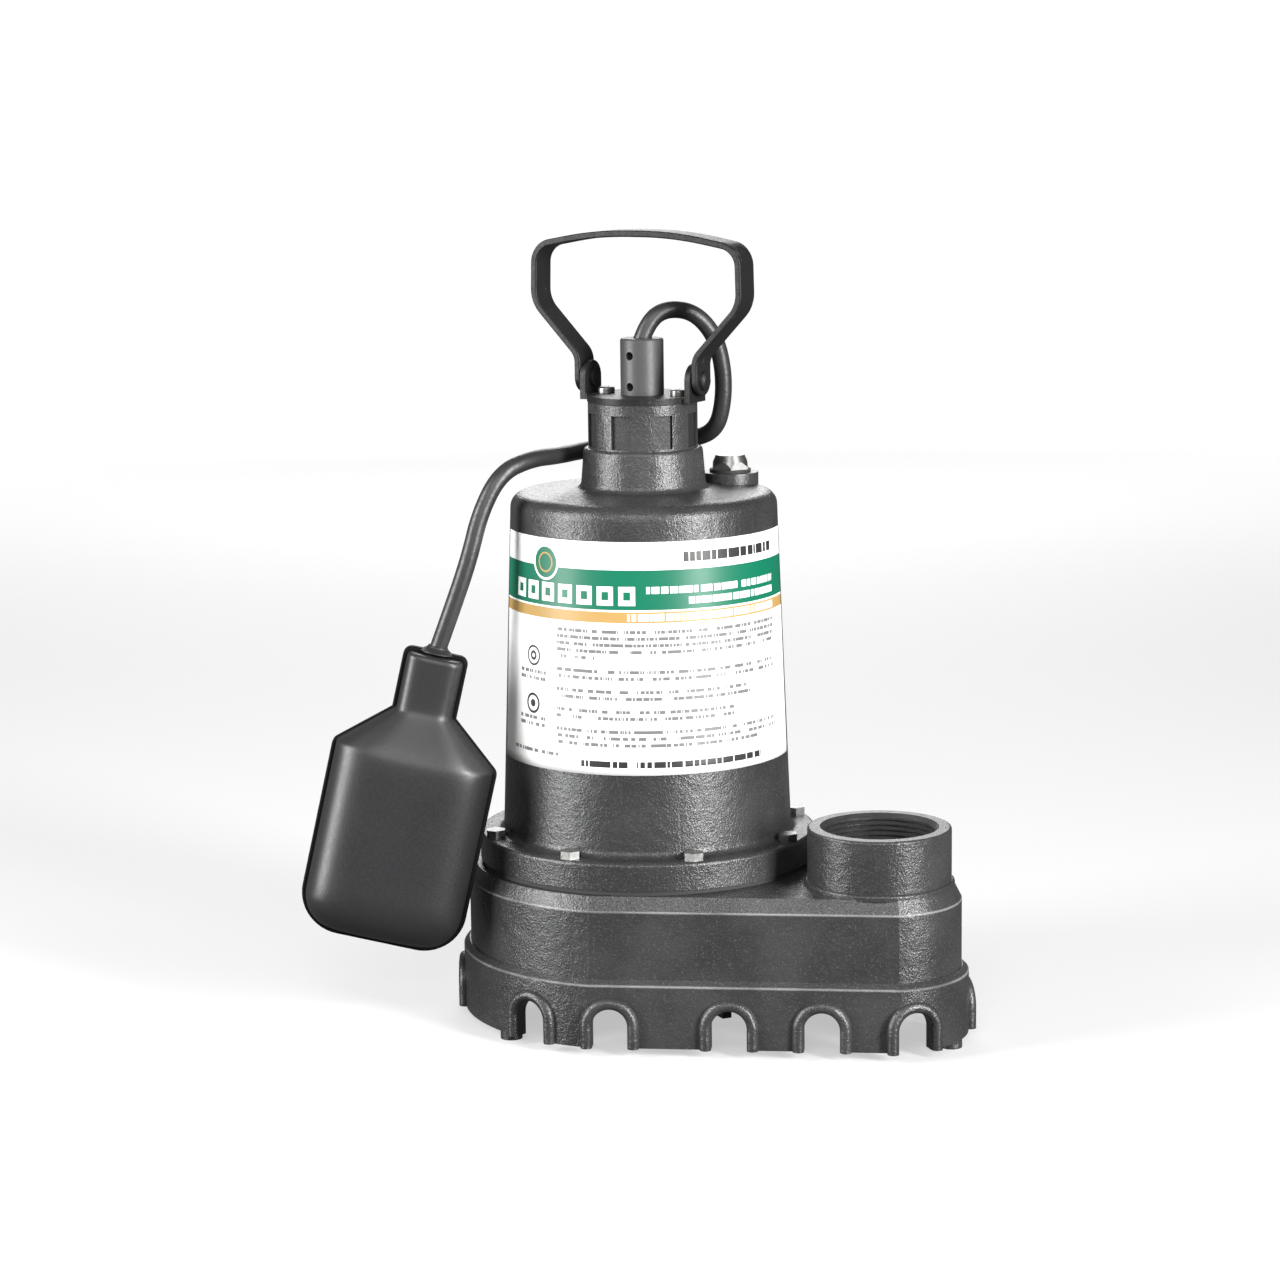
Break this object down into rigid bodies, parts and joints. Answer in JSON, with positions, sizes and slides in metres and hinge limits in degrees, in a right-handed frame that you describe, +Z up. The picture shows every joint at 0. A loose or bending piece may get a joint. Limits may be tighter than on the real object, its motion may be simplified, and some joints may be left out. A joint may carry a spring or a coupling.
{
  "type": "submersible sump pump",
  "caption": "Submersible sump pump: tapered cast motor housing on a teardrop volute with a slotted strainer base, threaded top discharge, bail handle and a float switch on a tether.",
  "frame": {"origin": "middle of the base footprint on the floor, without the tether and its float", "axes": "+Z up; +X from the motor axis towards the discharge; the tethered float hangs on the -X, -Y side"},
  "size_m": [0.2644, 0.1958, 0.3329],
  "materials": {
    "cast_iron_body": "charcoal paint over coarse sand casting, satin",
    "machined_iron": "machined grey iron",
    "zinc_fastener": "bright zinc plate",
    "steel_dark": "black satin paint",
    "shaft_steel": "ground steel",
    "bearing_steel": "polished bearing steel",
    "electrical_steel": "laminated stack, varnished",
    "copper_winding": "enamelled copper wire",
    "cast_aluminium": "die cast",
    "gasket_rubber": "matt black rubber",
    "seal_ceramic": "white ceramic",
    "seal_carbon": "carbon",
    "impeller_brass": "cast iron, as cast",
    "label_film": "printed film with a green band",
    "sleeve_plastic": "grey moulded plastic",
    "cord_rubber": "black rubber jacket",
    "float_plastic": "black moulded plastic, semi-gloss",
    "inner_plastic": "moulded plastic",
    "capacitor_can": "drawn aluminium can"
  },
  "bodies": {
    "root": {"volute_casing": "cast_iron_body", "strainer_base": "cast_iron_body", "base_screws": "zinc_fastener", "flange_screws": "zinc_fastener", "volute_gasket": "gasket_rubber", "motor_housing": "cast_iron_body", "lower_bearing_bracket": "machined_iron", "upper_bearing_bracket": "cast_aluminium", "lower_bearing_outer_race": "bearing_steel", "upper_bearing_outer_race": "bearing_steel", "stator_core": "electrical_steel", "stator_windings": "copper_winding", "seal_seat": "seal_ceramic", "seal_cup": "gasket_rubber", "bearing_wave_spring": "shaft_steel", "filler_plug_washer": "gasket_rubber", "oil_filler_plug": "zinc_fastener", "rating_label": "label_film", "cap_plate": "steel_dark", "neck_gasket": "gasket_rubber", "cap_screws": "zinc_fastener", "cord_connector_sleeve": "sleeve_plastic", "terminal_plug": "inner_plastic", "handle_rivets": "steel_dark", "lead_wires": "inner_plastic", "thermal_overload": "inner_plastic", "start_capacitor": "capacitor_can", "cord_loop": "cord_rubber", "tether_bend": "cord_rubber", "tether_clamp": "steel_dark", "tether_clamp_screw": "zinc_fastener"},
    "rotor": {"motor_shaft": "shaft_steel", "lower_bearing_inner_race": "bearing_steel", "upper_bearing_inner_race": "bearing_steel", "lower_bearing_balls": "bearing_steel", "upper_bearing_balls": "bearing_steel", "rotor_core": "electrical_steel", "rotor_end_rings": "cast_aluminium", "impeller": "impeller_brass", "impeller_washer": "zinc_fastener", "impeller_nut": "zinc_fastener", "seal_carbon_ring": "seal_carbon", "seal_bellows": "gasket_rubber", "seal_spring": "shaft_steel"},
    "handle": {"carry_handle": "steel_dark"},
    "float": {"tether_drop": "cord_rubber", "float_shell_front": "float_plastic", "float_shell_back": "float_plastic", "ball_guide": "inner_plastic", "switch_contact_block": "inner_plastic", "float_switch_leads": "inner_plastic", "float_weight": "shaft_steel"},
    "ball": {"switch_ball": "bearing_steel"}
  },
  "joints": [
    {"name": "rotor_spin", "type": "hinge", "parent": "root", "child": "rotor", "pos_m": [-0.03325, 0, 0.12], "axis": [0, 0, 1], "continuous": true},
    {"name": "handle_swing", "type": "hinge", "parent": "root", "child": "handle", "pos_m": [-0.03325, 0, 0.271], "axis": [1, 0, 0], "range_deg": [0, 90]},
    {"name": "float_swing", "type": "hinge", "parent": "root", "child": "float", "pos_m": [-0.06681, -0.03551, 0.2396], "axis": [-0.4808, 0.8768, 0], "range_deg": [0, 75], "deforming": ["tether_bend"]},
    {"name": "switch_ball_roll", "type": "slide", "parent": "float", "child": "ball", "axis": [0.1972, 0.1082, 0.9744], "range_m": [0, 0.02]}
  ]
}
